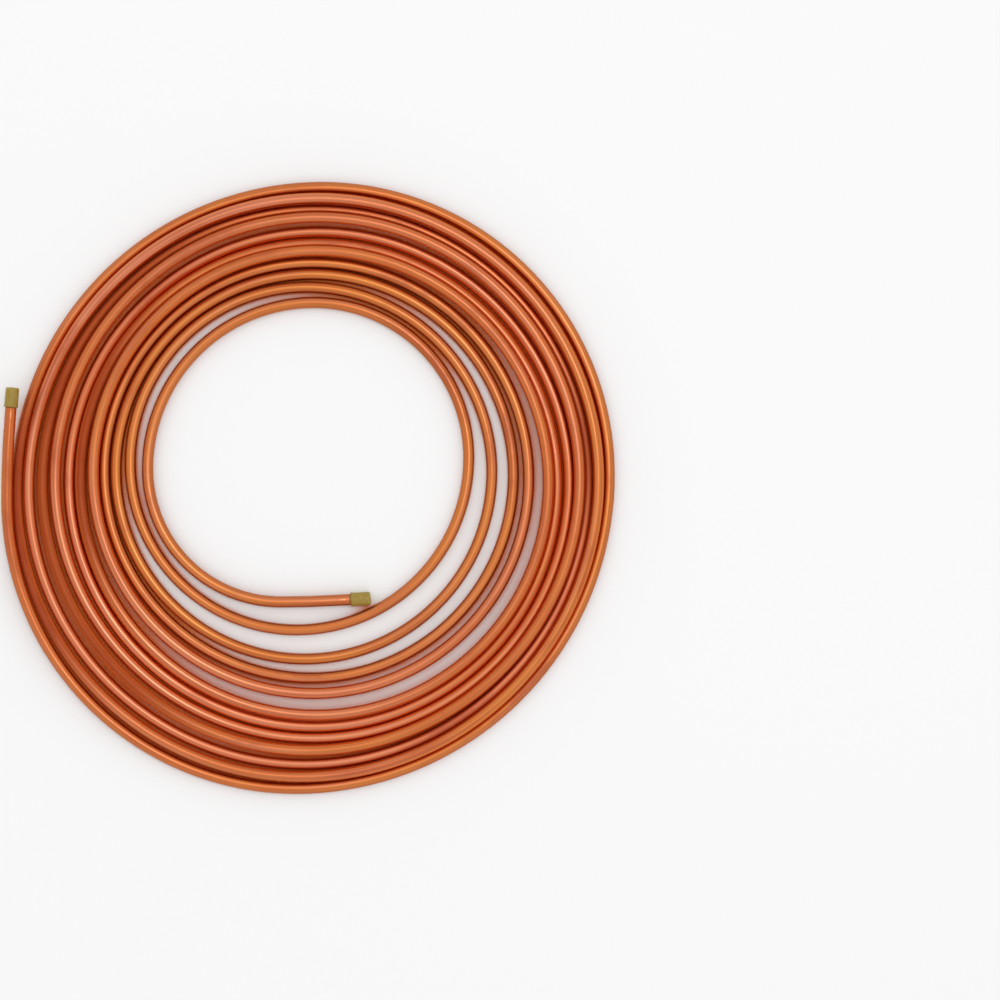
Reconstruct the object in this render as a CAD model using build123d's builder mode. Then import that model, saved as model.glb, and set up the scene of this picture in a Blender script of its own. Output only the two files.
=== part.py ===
from build123d import *
from math import cos, radians, sin
import os

os.makedirs("parts", exist_ok=True)

# Soft copper tube of the 3/8 in size, 14.3 m of it in one length
TUBE_DIAMETER = 9.525
TUBE_WALL = 0.81

# How far each turn's centre line reaches from the middle of the coil, outermost turn first:
# at the near side (-Y), the right (+X), the far side (+Y) and the left (-X)
NEAR_REACH = [254.4, 244.0, 233.9, 221.8, 212.1, 202.0, 192.0, 173.8, 160.9, 144.8, 120.2, 96.5]
RIGHT_REACH = [254.2, 245.0, 236.5, 229.0, 220.3, 210.0, 202.6, 186.1, 173.0, 154.8, 135.3]
FAR_REACH = [254.4, 244.4, 235.5, 228.3, 217.0, 206.8, 200.4, 190.9, 181.0, 170.0, 157.0]
LEFT_REACH = [247.1, 236.8, 225.3, 214.3, 203.2, 193.1, 181.8, 173.4, 163.4, 151.2, 136.6]

# The outermost turn is nearest a little to the left of the middle
FIRST_NEAR_X = -11.2

# Turns that climb on to the shoulders of the turns beside them, and by how much, and come down again;
# the last near point is held off the floor by the cap on the inner end
FAR_LIFT = {1: 7.2, 3: 9.0, 6: 9.0}
NEAR_LIFT = {1: 4.8, 3: 5.2, 6: 4.8, 7: 4.0, 11: 1.4}

# The outer end has sprung up and out, and runs nearly straight beside the coil
OUTER_TAIL_REACH = 254.2
OUTER_TAIL_LIFT = 9.0
OUTER_TAIL_RADIUS = 800.0
OUTER_TAIL_SWING = 5.0

# The inner end runs nearly straight across the eye of the coil
INNER_TAIL_RUN = 49.6
INNER_TAIL_RISE = 1.5

# Both ends are cut square and closed by a soft plastic cap
END_LENGTH = 25.0
CAP_DIAMETER = 12.0
CAP_DEPTH = 15.2
CAP_FLOOR = 1.6
CAP_PLAY = 0.05
CAP_EDGE = 1.2

TUBE_RADIUS = TUBE_DIAMETER / 2
BORE_RADIUS = TUBE_RADIUS - TUBE_WALL
RIGHTWARDS = (1, 0, 0)
LEFTWARDS = (-1, 0, 0)


def quarter_points():
    """Where the route turns from one quarter to the next, from the outermost near point inwards."""
    points = [Vector(FIRST_NEAR_X, -NEAR_REACH[0], TUBE_RADIUS)]
    for turn, (right, far, left) in enumerate(zip(RIGHT_REACH, FAR_REACH, LEFT_REACH)):
        start = points[-1]
        next_near = NEAR_REACH[turn + 1]
        far_z = TUBE_RADIUS + FAR_LIFT.get(turn, 0)
        next_z = TUBE_RADIUS + NEAR_LIFT.get(turn + 1, 0)

        # each quarter is a round arc, so it goes as far in X as in Y
        right_y = start.Y + (right - start.X)
        far_x = right - (far - right_y)
        left_y = far - (far_x + left)
        next_x = (left_y + next_near) - left

        # the height changes evenly over each half turn, which lies in one sloping plane
        right_share = (right - start.X) / (far - start.Y)
        left_share = (far - left_y) / (far + next_near)
        right_z = start.Z + (far_z - start.Z) * right_share
        left_z = far_z + (next_z - far_z) * left_share
        points += [
            Vector(right, right_y, right_z),
            Vector(far_x, far, far_z),
            Vector(-left, left_y, left_z),
            Vector(next_x, -next_near, next_z),
        ]
    return points


def tube_section():
    """Six sides as wide and as high as the tube: the turns meet side to side and lie flat."""
    half_flat = TUBE_RADIUS / 2
    Polygon(
        (TUBE_RADIUS, 0),
        (half_flat, TUBE_RADIUS),
        (-half_flat, TUBE_RADIUS),
        (-TUBE_RADIUS, 0),
        (-half_flat, -TUBE_RADIUS),
        (half_flat, -TUBE_RADIUS),
    )


# The route of the winding: a quarter-turn arc from each point to the next, each tangent to the last,
# then a last gentle arc towards the inner end
quarters = quarter_points()
inner_tail_start = quarters[-1]
inner_tail_end = inner_tail_start + Vector(INNER_TAIL_RUN, INNER_TAIL_RISE, 0)
with BuildLine() as winding:
    arc = TangentArc(quarters[0], quarters[1], tangent=RIGHTWARDS)
    for point in quarters[2:] + [inner_tail_end]:
        arc = TangentArc(arc @ 1, point, tangent=arc % 1)

# The route of the outer tail, from the same near point the other way round to the left
tail_bend_radius = OUTER_TAIL_REACH + FIRST_NEAR_X
tail_corner = Vector(-OUTER_TAIL_REACH, quarters[0].Y + tail_bend_radius, TUBE_RADIUS + OUTER_TAIL_LIFT)
with BuildLine() as outer_tail:
    tail_bend = TangentArc(quarters[0], tail_corner, tangent=LEFTWARDS)
    upwards = tail_bend % 1
    swing = radians(OUTER_TAIL_SWING)
    tail_end = (
        tail_corner
        + upwards * (OUTER_TAIL_RADIUS * sin(swing))
        + Vector(OUTER_TAIL_RADIUS * (1 - cos(swing)), 0, 0)
    )
    tail_run = TangentArc(tail_corner, tail_end, tangent=upwards)

outer_end_plane = Plane(origin=tail_run @ 1, z_dir=tail_run % 1)
inner_end_plane = Plane(origin=arc @ 1, z_dir=arc % 1)

# The tube: one length, swept both ways from the near point, with round bored ends
with BuildPart() as copper_tube:
    with BuildSketch(Plane(origin=quarters[0], x_dir=(0, 1, 0), z_dir=RIGHTWARDS)) as section:
        tube_section()
    sweep(path=winding.wire())
    sweep(sections=section.sketch, path=outer_tail.wire())
    for end_plane in (outer_end_plane, inner_end_plane):
        with BuildSketch(end_plane):
            Circle(TUBE_RADIUS)
        extrude(amount=END_LENGTH)
        with BuildSketch(end_plane):
            Circle(BORE_RADIUS)
        extrude(amount=END_LENGTH, mode=Mode.SUBTRACT)
copper_tube.part.label = "copper_tube"
export_step(copper_tube.part, "parts/copper_tube.step")


def end_cap(end_plane, label):
    """A soft plastic cap, pushed over the tube until its floor meets the cut end."""
    mouth = end_plane.offset(END_LENGTH - CAP_DEPTH)
    with BuildPart() as cap:
        with BuildSketch(mouth):
            Circle(CAP_DIAMETER / 2)
        extrude(amount=CAP_DEPTH + CAP_FLOOR)
        closed_rim = cap.edges().group_by(lambda edge: (edge.center() - mouth.origin).dot(mouth.z_dir))[-1]
        chamfer(closed_rim, length=CAP_EDGE)
        with BuildSketch(mouth):
            Circle(TUBE_RADIUS + CAP_PLAY)
        extrude(amount=CAP_DEPTH, mode=Mode.SUBTRACT)
    cap.part.label = label
    export_step(cap.part, f"parts/{label}.step")


end_cap(outer_end_plane, "outer_end_cap")
end_cap(inner_end_plane, "inner_end_cap")

print("length of tube", winding.wire().length + outer_tail.wire().length + 2 * END_LENGTH)
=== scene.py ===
from math import atan2, ceil, cos, pi, radians, sin

import bmesh
import bpy
from mathutils import Matrix, Vector


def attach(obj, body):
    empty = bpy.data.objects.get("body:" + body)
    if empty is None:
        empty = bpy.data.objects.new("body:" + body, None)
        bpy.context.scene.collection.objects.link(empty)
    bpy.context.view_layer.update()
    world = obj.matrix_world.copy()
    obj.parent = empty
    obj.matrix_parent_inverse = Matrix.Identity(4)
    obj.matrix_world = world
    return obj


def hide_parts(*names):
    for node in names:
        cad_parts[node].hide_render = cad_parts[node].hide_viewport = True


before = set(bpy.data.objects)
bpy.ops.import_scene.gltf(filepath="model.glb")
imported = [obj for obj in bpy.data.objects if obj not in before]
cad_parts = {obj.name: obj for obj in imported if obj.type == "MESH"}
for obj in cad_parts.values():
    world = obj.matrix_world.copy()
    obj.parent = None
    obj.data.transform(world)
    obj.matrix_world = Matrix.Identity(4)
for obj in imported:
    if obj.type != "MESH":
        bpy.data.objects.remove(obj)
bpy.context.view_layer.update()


# Copper tube: one 14.3 m length of soft drawn copper, 9.525 mm across with a 0.81 mm wall.
# It is wound flat from the outside inwards, and the outer end has sprung up and out beside the coil.
# Its route repeats the part's own: a quarter-turn arc from each of these reaches to the next.
TUBE_RADIUS = 0.0047625
TUBE_WALL = 0.00081
NEAR_REACH = [
    0.2544, 0.244, 0.2339, 0.2218, 0.2121, 0.202, 0.192, 0.1738, 0.1609, 0.1448, 0.1202, 0.0965,
]
RIGHT_REACH = [0.2542, 0.245, 0.2365, 0.229, 0.2203, 0.21, 0.2026, 0.1861, 0.173, 0.1548, 0.1353]
FAR_REACH = [0.2544, 0.2444, 0.2355, 0.2283, 0.217, 0.2068, 0.2004, 0.1909, 0.181, 0.17, 0.157]
LEFT_REACH = [0.2471, 0.2368, 0.2253, 0.2143, 0.2032, 0.1931, 0.1818, 0.1734, 0.1634, 0.1512, 0.1366]
FIRST_NEAR_X = -0.0112
FAR_LIFT = {1: 0.0072, 3: 0.009, 6: 0.009}
NEAR_LIFT = {1: 0.0048, 3: 0.0052, 6: 0.0048, 7: 0.004, 11: 0.0014}
OUTER_TAIL_REACH = 0.2542
OUTER_TAIL_LIFT = 0.009
OUTER_TAIL_RADIUS = 0.8
OUTER_TAIL_SWING = radians(5.0)
INNER_TAIL_RUN = 0.0496
INNER_TAIL_RISE = 0.0015
END_LENGTH = 0.025

TUBE_SIDES = 32
RING_ANGLE = radians(2.25)
MERGE_REACH = 0.000008
HALF_TURN = 0.5
RIGHTWARDS = Vector((1, 0, 0))


def quarter_points():
    """Where the route turns from one quarter to the next, from the outermost near point inwards."""
    points = [Vector((FIRST_NEAR_X, -NEAR_REACH[0], TUBE_RADIUS))]
    for turn, (right, far, left) in enumerate(zip(RIGHT_REACH, FAR_REACH, LEFT_REACH)):
        start = points[-1]
        next_near = NEAR_REACH[turn + 1]
        far_z = TUBE_RADIUS + FAR_LIFT.get(turn, 0)
        next_z = TUBE_RADIUS + NEAR_LIFT.get(turn + 1, 0)
        right_y = start.y + right - start.x
        far_x = right - far + right_y
        left_y = far - far_x - left
        next_x = left_y + next_near - left
        right_share = (right - start.x) / (far - start.y)
        left_share = (far - left_y) / (far + next_near)
        points += [
            Vector((right, right_y, start.z + (far_z - start.z) * right_share)),
            Vector((far_x, far, far_z)),
            Vector((-left, left_y, far_z + (next_z - far_z) * left_share)),
            Vector((next_x, -next_near, next_z)),
        ]
    return points


def tube_ring(place, along, way):
    """A new mesh with one ring of the tube round place's Z axis, which runs along the tube."""
    bm = bmesh.new()
    length = bm.verts.layers.float.new("along")
    turn = bm.verts.layers.float.new("around")
    bmesh.ops.create_circle(bm, segments=TUBE_SIDES, radius=TUBE_RADIUS, matrix=place)
    for side, vert in enumerate(bm.verts):
        vert[length] = along
        vert[turn] = way * side / TUBE_SIDES % 1
    return bm, length


def join_to(whole, bm):
    """Adds a finished stretch of tube to the whole tube."""
    stretch = bpy.data.meshes.new("stretch")
    bm.to_mesh(stretch)
    bm.free()
    whole.from_mesh(stretch)
    bpy.data.meshes.remove(stretch)


def wind(whole, place, along, way, stops):
    """Spins the ring at place through the stops, one arc each. Returns where it ends, and how far along
    the tube the start and each stop are.
    """
    marks = [along]
    for stop in stops:
        start = place.translation.copy()
        tangent = place.col[2].to_3d()
        chord = stop - start
        inward = (chord - tangent * chord.dot(tangent)).normalized()
        radius = chord.length_squared / (2 * chord.dot(inward))
        angle = 2 * atan2(chord.dot(inward), chord.dot(tangent))
        centre = start + inward * radius
        axis = tangent.cross(inward)
        bm, length = tube_ring(place, along, way)
        bmesh.ops.spin(
            bm,
            geom=list(bm.verts) + list(bm.edges),
            cent=centre,
            axis=axis,
            angle=angle,
            steps=ceil(angle / RING_ANGLE),
        )
        for vert in bm.verts:
            spoke = vert.co - centre
            vert[length] = along + way * radius * atan2(spoke.dot(tangent), -spoke.dot(inward))
        join_to(whole, bm)
        along += way * radius * angle
        marks.append(along)
        to_centre = Matrix.Translation(centre)
        place = to_centre @ Matrix.Rotation(angle, 4, axis) @ to_centre.inverted() @ place
    return place, marks


def cut_end(whole, place, along, way):
    """Runs the tube straight to its square-cut end, and back inside as the bore."""
    bm, length = tube_ring(place, along, way)
    ring = list(bm.edges)
    tangent = place.col[2].to_3d()
    middle = place.translation.copy()
    for run, wall in ((END_LENGTH, 0), (0, TUBE_WALL), (-END_LENGTH, 0)):
        pulled = bmesh.ops.extrude_edge_only(bm, edges=ring)["geom"]
        ring = [part for part in pulled if isinstance(part, bmesh.types.BMEdge)]
        middle += tangent * run
        along += way * run
        for vert in (part for part in pulled if isinstance(part, bmesh.types.BMVert)):
            vert.co += tangent * run
            vert.co += (middle - vert.co).normalized() * wall
            vert[length] = along
    bmesh.ops.contextual_create(bm, geom=ring)
    join_to(whole, bm)


def new_object(name, bm):
    """An object at the origin that holds the finished mesh bm."""
    mesh = bpy.data.meshes.new(name)
    bm.to_mesh(mesh)
    bm.free()
    made = bpy.data.objects.new(name, mesh)
    bpy.context.scene.collection.objects.link(made)
    return made


whole = bmesh.new()
along_layer = whole.verts.layers.float.new("along")
around_layer = whole.verts.layers.float.new("around")
stops = quarter_points()
inner_stop = stops[-1] + Vector((INNER_TAIL_RUN, INNER_TAIL_RISE, 0))
heading_right = Matrix.Translation(stops[0]) @ Matrix.Rotation(pi / 2, 4, "Y")
inner_place, quarter_marks = wind(whole, heading_right, 0, 1, stops[1:] + [inner_stop])
cut_end(whole, inner_place, quarter_marks[-1], 1)

tail_corner = Vector((0, OUTER_TAIL_REACH + FIRST_NEAR_X, OUTER_TAIL_LIFT)) + stops[0]
tail_corner.x = -OUTER_TAIL_REACH
heading_left = heading_right @ Matrix.Rotation(pi, 4, "Y")
bend_place, bend_marks = wind(whole, heading_left, 0, -1, [tail_corner])
tail_stop = tail_corner + bend_place.col[2].to_3d() * (OUTER_TAIL_RADIUS * sin(OUTER_TAIL_SWING))
tail_stop += RIGHTWARDS * (OUTER_TAIL_RADIUS * (1 - cos(OUTER_TAIL_SWING)))
outer_place, tail_marks = wind(whole, bend_place, bend_marks[-1], -1, [tail_stop])
cut_end(whole, outer_place, tail_marks[-1], -1)

bmesh.ops.remove_doubles(whole, verts=whole.verts, dist=MERGE_REACH)
bmesh.ops.recalc_face_normals(whole, faces=whole.faces)
unrolled = whole.loops.layers.uv.new("unrolled")
for face in whole.faces:
    face.smooth = len(face.verts) == 4
    turns = [vert[around_layer] for vert in face.verts]
    wraps = max(turns) - min(turns) > HALF_TURN
    for loop in face.loops:
        turn = loop.vert[around_layer]
        loop[unrolled].uv = (loop.vert[along_layer], turn + 1 if wraps and turn < HALF_TURN else turn)
tube = new_object("wound_tube", whole)
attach(tube, "root")
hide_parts("copper_tube")


class Socket:
    """An output in a shader tree, which operators work on. With no output it is the tree itself."""

    def __init__(self, tree, output=None):
        self.tree = tree
        self.output = output

    def node(self, kind, inputs, settings=None):
        """Adds a node: its settings first, then the value or link of each socket."""
        made = self.tree.nodes.new("ShaderNode" + kind)
        for name, value in (settings or {}).items():
            setattr(made, name, value)
        sockets = [socket for socket in made.inputs if socket.enabled]
        for name, value in inputs.items():
            if isinstance(name, int):
                socket = sockets[name]
            else:
                socket = next(socket for socket in sockets if socket.name == name)
            if isinstance(value, Socket):
                self.tree.links.new(value.output, socket)
            else:
                socket.default_value = value
        return Socket(self.tree, next((output for output in made.outputs if output.enabled), None))

    def other(self, name):
        """Another output of the same node."""
        return Socket(self.tree, self.output.node.outputs[name])

    def maths(self, operation, first, second):
        return self.node("Math", {0: first, 1: second}, {"operation": operation})

    def __add__(self, other):
        return self.maths("ADD", self, other)

    def __radd__(self, other):
        return self.maths("ADD", other, self)

    def __sub__(self, other):
        return self.maths("SUBTRACT", self, other)

    def __rsub__(self, other):
        return self.maths("SUBTRACT", other, self)

    def __mul__(self, other):
        return self.maths("MULTIPLY", self, other)

    def __rmul__(self, other):
        return self.maths("MULTIPLY", other, self)


def new_finish(name):
    """A new material and its empty shader tree."""
    finish = bpy.data.materials.new(name)
    finish.use_nodes = True
    finish.node_tree.nodes.clear()
    return finish, Socket(finish.node_tree)


def mask(value, low, high):
    """0 where value is below low, 1 where it is above high, and smooth between them."""
    return value.node(
        "MapRange",
        {"Value": value, "From Min": low, "From Max": high},
        {"interpolation_type": "SMOOTHSTEP"},
    )


def tint(under, over, share):
    """The colour over, laid on the colour under as far as share says."""
    return share.node("Mix", {"Factor": share, "A": under, "B": over}, {"data_type": "RGBA"})


def tints(ground, coats):
    """The colour ground with the coats laid on it in turn: each one's colour, place and strength."""
    for colour, place, strength in coats:
        ground = tint(ground, colour, place * strength)
    return ground


def noise(place, scale, detail=2.0):
    """Even noise, with so many features to a metre, or to a metre along each axis."""
    if isinstance(scale, tuple):
        place = place.node("VectorMath", {0: place, 1: scale}, {"operation": "MULTIPLY"})
        scale = 1.0
    return place.node("TexNoise", {"Vector": place, "Scale": scale, "Detail": detail})


def bump(relief):
    """The surface's normals where it stands out by relief, in metres."""
    return relief.node("Bump", {"Strength": 1.0, "Distance": 1.0, "Height": relief})


# Bright drawn copper and what air and handling have made of it, with painted shading on the turns'
# sides, painted shade on some stretches and a painted highlight on others
COPPER = (0.58, 0.142, 0.031, 1)
ORANGE_COPPER = (0.64, 0.205, 0.03, 1)
PINK_COPPER = (0.68, 0.225, 0.115, 1)
RED_COPPER = (0.44, 0.075, 0.018, 1)
# Brown tarnish, also painted on the dull stretches as painted shade
BROWN_TARNISH_AND_SHADE = (0.36, 0.052, 0.018, 1)
DARK_SPOT = (0.08, 0.025, 0.01, 1)
# Painted shading: the copper-red that neighbouring turns reflect onto each tube's sides, and their
# shade there
SIDE_PAINTED_SHADING = (0.80, 0.21, 0.036, 1)
# Painted shade: dark reflections painted on sides that face open space
OPEN_SIDE_PAINTED_SHADE = (0.27, 0.075, 0.02, 1)

# Stretches of the tube that differ, in quarter turns inwards from the outermost near point
OUTERMOST_ENDS = 4.0
LOOSE_TURNS_BEGIN = 28.5
# The dull stretches are rougher and also painted brown: painted shade on low turns between raised
# neighbours
DULL_AND_SHADED_QUARTERS = ((2.75, 3.45), (8.9, 9.25), (10.3, 11.7), (22.55, 23.3))
TAN_QUARTERS = ((0.1, 1.7), (4.3, 5.3), (29.0, 44.9))
# The bright stretches are smoother and also painted pinker: a painted highlight
POLISHED_HIGHLIGHT_QUARTERS = ((6.05, 6.85), (14.9, 16.3), (18.9, 20.3), (23.4, 24.3), (27.0, 28.3))
STRETCH_FADE = 0.07
TAN_STRENGTH = 0.65

# How far a finer pattern frays the edges of a broader one
TONE_FRAY = 0.35
MARK_FRAY = 0.5
SIDE_FRAY = 0.3

# The bare copper's roughness, and what each pattern or mark adds to it or takes from it
COPPER_ROUGHNESS = 0.27
CLOUD_ROUGHNESS = 0.12
TARNISH_ROUGHNESS = 0.09
DULL_ROUGHNESS = 0.22
DRAWING_ROUGHNESS = 0.08
BRIGHT_SMOOTHNESS = 0.06
SPOT_OXIDE = 0.5
OIL_FILM = 0.6
OIL_FILM_ROUGHNESS = 0.15

# How far the marks stand out or sink in, in metres
DRAWING_HEIGHT = 0.000006
STREAK_HEIGHT = 0.000012
CLOUD_HEIGHT = 0.00012
SPOT_DEPTH = 0.00003
NICK_DEPTH = 0.00002


def along_at(quarter):
    """How far along the tube a place is, given in quarter turns from the outermost near point."""
    passed = int(quarter)
    start, end = quarter_marks[passed:passed + 2]
    return start + quarter % 1 * (end - start)


def past(metres_along, quarter):
    """1 along the tube from a quarter turn inwards, and 0 outwards from it."""
    return mask(metres_along, along_at(quarter) - STRETCH_FADE, along_at(quarter) + STRETCH_FADE)


def stretches(metres_along, quarters):
    """1 along the tube between each pair of quarter turns, and 0 elsewhere."""
    return sum(past(metres_along, start) * (1 - past(metres_along, end)) for start, end in quarters)


copper, shader = new_finish("soft_copper")
metres_along = shader.node("SeparateXYZ", {0: shader.node("UVMap", {}, {"uv_map": "unrolled"})})
turned = metres_along.other("Y") * (2 * pi)
inward = shader.node("Math", {0: turned}, {"operation": "COSINE"})
upward = shader.node("Math", {0: turned}, {"operation": "SINE"})
straightened = shader.node(
    "CombineXYZ", {"X": metres_along, "Y": inward * TUBE_RADIUS, "Z": upward * TUBE_RADIUS}
)
turn_tone = noise(straightened, scale=(0.55, 12, 12), detail=1.0)
patches = noise(straightened, scale=(7, 40, 40), detail=3.0)
clouds = noise(straightened, scale=(55, 120, 120), detail=4.0)
bands = noise(straightened, scale=(5, 380, 380))
streaks = noise(straightened, scale=(2.5, 900, 900))
drawing = noise(straightened, scale=(9, 3200, 3200))
pits = noise(straightened, scale=900, detail=3.0)
rubs = noise(straightened, scale=(1500, 60, 60), detail=1.0)

beside = shader.node("Math", {0: inward}, {"operation": "ABSOLUTE"})
# Painted shading on each tube's sides, where neighbouring turns would shade it and throw copper-red
# light on it
painted_side_shading = mask(beside + patches * SIDE_FRAY, low=0.5, high=1.2)
# Painted shade on the sides of loose turns and the outermost turn's outer side, standing in for dark
# reflections
painted_outer_side_shade = mask(0 - inward, low=0.4, high=1.0) * (1 - past(metres_along, OUTERMOST_ENDS))
painted_open_side_shade = painted_side_shading * past(metres_along, LOOSE_TURNS_BEGIN) + painted_outer_side_shade
# Dull stretches: rougher, and painted brown as painted shade
dullness_and_painted_shade = stretches(metres_along, DULL_AND_SHADED_QUARTERS)
tanness = stretches(metres_along, TAN_QUARTERS)
# Bright stretches: smoother polish, and a painted highlight in pinker colour
polish_and_painted_highlight = stretches(metres_along, POLISHED_HIGHLIGHT_QUARTERS)
pinkness = mask(turn_tone + patches * TONE_FRAY, low=0.62, high=0.80) * (1 - tanness * TAN_STRENGTH)
orangeness = mask(1 - turn_tone + clouds * TONE_FRAY, low=0.62, high=0.85)
redness = mask(patches + streaks * MARK_FRAY, low=0.70, high=0.95)
brownness = mask(patches + clouds * MARK_FRAY, low=0.78, high=1.0)
dark_bands = mask(bands, low=0.52, high=0.68)
pale_bands = 1 - mask(bands, low=0.34, high=0.46)
drawn_lines = mask(drawing, low=0.45, high=0.75)
red_streaks = mask(streaks, low=0.55, high=0.75)
spots = mask(pits, low=0.70, high=0.76) * mask(patches, low=0.45, high=0.65)
nicks = mask(rubs, low=0.70, high=0.80) * mask(clouds, low=0.5, high=0.62)

copper_colour = tints(COPPER, [
    (PINK_COPPER, pinkness, 0.55),
    (ORANGE_COPPER, orangeness, 0.6),
    (ORANGE_COPPER, tanness, TAN_STRENGTH),
    # painted highlight on the polished stretches
    (PINK_COPPER, polish_and_painted_highlight, 0.6),
    (RED_COPPER, redness, 0.5),
    (BROWN_TARNISH_AND_SHADE, brownness, 0.45),
    (RED_COPPER, dark_bands, 0.45),
    (PINK_COPPER, pale_bands, 0.5),
    # painted shade on the low, dull stretches
    (BROWN_TARNISH_AND_SHADE, dullness_and_painted_shade, 0.6 + patches * 0.3),
    # painted shading on the sides of the turns
    (SIDE_PAINTED_SHADING, painted_side_shading, 0.9),
    # painted shade: dark reflections on sides that face open space
    (OPEN_SIDE_PAINTED_SHADE, painted_open_side_shade, 0.45 + patches * 0.3),
    (PINK_COPPER, drawn_lines, 0.2),
    (RED_COPPER, red_streaks, 0.25),
    (DARK_SPOT, spots, 0.7),
    (PINK_COPPER, nicks, 0.6),
])
copper_roughness = (
    COPPER_ROUGHNESS
    + clouds * CLOUD_ROUGHNESS
    + brownness * TARNISH_ROUGHNESS
    + dullness_and_painted_shade * DULL_ROUGHNESS
    + drawing * DRAWING_ROUGHNESS
    - polish_and_painted_highlight * BRIGHT_SMOOTHNESS
)
copper_relief = (
    drawing * DRAWING_HEIGHT
    + streaks * STREAK_HEIGHT
    + clouds * CLOUD_HEIGHT
    - spots * SPOT_DEPTH
    - nicks * NICK_DEPTH
)
copper_surface = shader.node(
    "BsdfPrincipled",
    {
        "Base Color": copper_colour,
        "Metallic": 1 - spots * SPOT_OXIDE,
        "Roughness": copper_roughness,
        "Coat Weight": (1 - dullness_and_painted_shade) * (1 - painted_side_shading) * OIL_FILM,
        "Coat Roughness": OIL_FILM_ROUGHNESS,
        "Normal": bump(copper_relief),
    },
)
shader.node("OutputMaterial", {"Surface": copper_surface})
tube.data.materials.append(copper)


# End caps: soft yellow-green vinyl, dip-moulded, with a rolled lip at the mouth.
# Each is pushed 15 mm over a cut end of the tube, down to its floor, and grips by its own spring.
CAP_RADIUS = 0.006
CAP_DEPTH = 0.0152
CAP_FLOOR = 0.0016
CAP_PLAY = 0.00005
CAP_BODY_RADIUS = 0.00575
CAP_TIP_RADIUS = 0.0056
LIP_LENGTH = 0.0016
LIP_SLOPE = 0.0006
DRIP_RADIUS = 0.0011
DRIP_TIP_RADIUS = 0.00066
DRIP_LENGTH = 0.00025
LIP_ROUND = 0.00035
RIM_ROUND = 0.0014
ROUND_STEPS = 5
SHARP_BEND = radians(40)
CAP_SIDES = 64

VINYL = (0.34, 0.26, 0.022, 1)
VINYL_OVER_COPPER = (0.31, 0.17, 0.02, 1)
VINYL_DUST = (0.46, 0.36, 0.13, 1)
VINYL_GRIME = (0.09, 0.07, 0.02, 1)
COPPER_EDGE_FRAY = 0.002
GRIME_FROM_MOUTH = 0.0006
GRIME_ENDS = 0.0018
GRIME_FRAY = 0.001

VINYL_ROUGHNESS = 0.36
DUST_ROUGHNESS = 0.22
MOTTLE_ROUGHNESS = 0.12
SCUFF_ROUGHNESS = 0.1

DIMPLE_HEIGHT = 0.00001
MOTTLE_HEIGHT = 0.0001
SCUFF_DEPTH = 0.00001

vinyl, shader = new_finish("cap_vinyl")
place = shader.node("TexCoord", {}).other("Object")
depth = shader.node("Attribute", {}, {"attribute_name": "from_mouth"}).other("Fac")
dust = mask(noise(place, scale=260, detail=4.0), low=0.52, high=0.70)
mottle = noise(place, scale=90, detail=3.0)
scuffs = mask(noise(place, scale=(2600, 2600, 400)), low=0.62, high=0.72)
dimples = noise(place, scale=1500)
over_copper = 1 - mask(depth + mottle * COPPER_EDGE_FRAY, low=CAP_DEPTH, high=CAP_DEPTH + CAP_FLOOR)
mouth_grime = 1 - mask(depth + mottle * GRIME_FRAY, low=GRIME_FROM_MOUTH, high=GRIME_ENDS)
cap_colour = tints(VINYL, [
    (VINYL_OVER_COPPER, over_copper, 0.35 + mottle * 0.4),
    (VINYL_GRIME, mouth_grime, 0.5),
    (VINYL_DUST, dust, 0.35),
    (VINYL_GRIME, scuffs, 0.35),
])
cap_roughness = (
    VINYL_ROUGHNESS
    + dust * DUST_ROUGHNESS
    + mottle * MOTTLE_ROUGHNESS
    + scuffs * SCUFF_ROUGHNESS
)
cap_relief = dimples * DIMPLE_HEIGHT + mottle * MOTTLE_HEIGHT - scuffs * SCUFF_DEPTH
cap_surface = shader.node(
    "BsdfPrincipled",
    {"Base Color": cap_colour, "Roughness": cap_roughness, "Normal": bump(cap_relief)},
)
shader.node("OutputMaterial", {"Surface": cap_surface})


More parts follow.
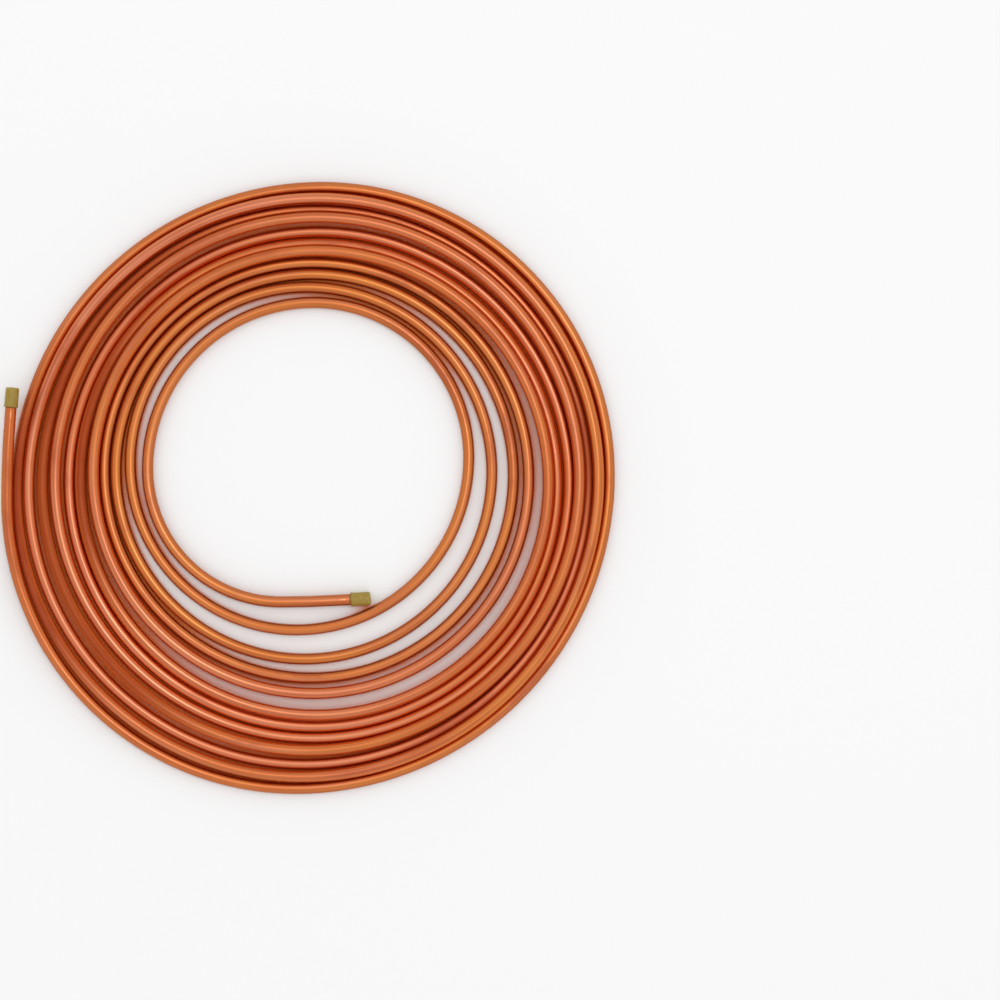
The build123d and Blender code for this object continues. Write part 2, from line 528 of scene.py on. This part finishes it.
def end_cap(name, node, place):
    """A cap on the tube end that starts at place, turned from the profile of its wall."""
    bore = TUBE_RADIUS + CAP_PLAY
    tip = CAP_DEPTH + CAP_FLOOR
    profile = [
        (0, CAP_DEPTH, 0),
        (bore, CAP_DEPTH, 0),
        (bore, 0, 0),
        (CAP_RADIUS, 0, LIP_ROUND),
        (CAP_RADIUS, LIP_LENGTH, LIP_ROUND),
        (CAP_BODY_RADIUS, LIP_LENGTH + LIP_SLOPE, 0),
        (CAP_TIP_RADIUS, tip - DRIP_LENGTH, RIM_ROUND),
        (DRIP_RADIUS, tip - DRIP_LENGTH, 0),
        (DRIP_TIP_RADIUS, tip, 0),
        (0, tip, 0),
    ]
    bm = bmesh.new()
    corners = [bm.verts.new((radius, 0, height)) for radius, height, rounding in profile]
    for one, next_one in zip(corners, corners[1:]):
        bm.edges.new((one, next_one))
    for corner, (radius, height, rounding) in zip(corners, profile):
        if rounding:
            bmesh.ops.bevel(
                bm,
                geom=[corner],
                offset=rounding,
                offset_type="OFFSET",
                affect="VERTICES",
                segments=ROUND_STEPS,
                profile=0.5,
                material=-1,
            )
    bmesh.ops.spin(
        bm,
        geom=list(bm.verts) + list(bm.edges),
        cent=(0, 0, 0),
        axis=(0, 0, 1),
        angle=2 * pi,
        steps=CAP_SIDES,
        use_merge=True,
    )
    bmesh.ops.remove_doubles(bm, verts=bm.verts, dist=MERGE_REACH)
    bmesh.ops.recalc_face_normals(bm, faces=bm.faces)
    depth = bm.verts.layers.float.new("from_mouth")
    for vert in bm.verts:
        vert[depth] = vert.co.z
    for face in bm.faces:
        face.smooth = True
    for edge in bm.edges:
        edge.smooth = edge.calc_face_angle(0) < SHARP_BEND
    mouth = place @ Matrix.Translation((0, 0, END_LENGTH - CAP_DEPTH))
    bmesh.ops.transform(bm, matrix=mouth, verts=bm.verts)
    cap = new_object(name, bm)
    cap.data.materials.append(vinyl)
    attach(cap, "root")
    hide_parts(node)


end_cap("outer_cap", "outer_end_cap", outer_place)
end_cap("inner_cap", "inner_end_cap", inner_place)


# Floor: a plain white sheet, level under the coil, which keeps the coil's soft shadow.
# Deep in the slits between the turns it is painted darker and red: painted shade, and painted red light
# that copper throws on what lies close to it.
FLOOR_SIZE = 30.0
FLOOR_WHITE = (0.95, 0.95, 0.95, 1)
SLIT_SHADE = (0.88, 0.22, 0.05, 1)
SLIT_REACH = 0.02
SLIT_SAMPLES = 16

bm = bmesh.new()
bmesh.ops.create_grid(bm, x_segments=1, y_segments=1, size=FLOOR_SIZE / 2)
floor = new_object("floor", bm)
sheet, shader = new_finish("white_sheet")
openness = shader.node(
    "AmbientOcclusion", {"Distance": SLIT_REACH}, {"samples": SLIT_SAMPLES, "only_local": False}
).other("AO")
# Painted shade and painted copper-red light in the slits, where the sheet is closely hemmed in
floor_colour = tint(SLIT_SHADE, FLOOR_WHITE, mask(openness, low=0.33, high=0.41))
floor_surface = shader.node(
    "BsdfPrincipled", {"Base Color": floor_colour, "Roughness": 1.0, "Specular IOR Level": 0.0}
)
shader.node("OutputMaterial", {"Surface": floor_surface})
floor.data.materials.append(sheet)


# Light: an even pale room, and one soft lamp high over the coil, a little to the far right.
# The lamp lays a soft bright line along the top of each turn.
ROOM = (0.89, 0.89, 0.89, 1)
LAMP_DISTANCE = 3.0
LAMP_TILT = radians(12)
LAMP_BEARING = radians(50)
LAMP_SIZE = 0.7
LAMP_POWER = 10.5

world = bpy.data.worlds.new("room")
bpy.context.scene.world = world
world.use_nodes = True
world.node_tree.nodes.clear()
shader = Socket(world.node_tree)
shader.node("OutputWorld", {"Surface": shader.node("Background", {"Color": ROOM, "Strength": 1.0})})
lamp_data = bpy.data.lights.new("soft_lamp", "AREA")
lamp_data.size = LAMP_SIZE
lamp_data.energy = LAMP_POWER
lamp = bpy.data.objects.new("soft_lamp", lamp_data)
aim = Matrix.Rotation(LAMP_BEARING, 4, "Z") @ Matrix.Rotation(LAMP_TILT, 4, "Y")
lamp.matrix_world = aim @ Matrix.Translation((0, 0, LAMP_DISTANCE))
bpy.context.scene.collection.objects.link(lamp)


# Camera: straight down on the coil, which lies in the left of the picture.
# The picture takes in so many metres across at the height of the tube's middle.
METRES_ACROSS = 0.8467
SENSOR = 36.0
LENS = 100.0
PICTURE_MIDDLE = (0.1617, -0.0102)

camera_data = bpy.data.cameras.new("overhead_view")
camera_data.sensor_width = SENSOR
camera_data.lens = LENS
camera = bpy.data.objects.new("overhead_view", camera_data)
camera.location = (*PICTURE_MIDDLE, METRES_ACROSS * LENS / SENSOR + TUBE_RADIUS)
bpy.context.scene.collection.objects.link(camera)
bpy.context.scene.camera = camera
bpy.context.scene.view_settings.view_transform = "Standard"
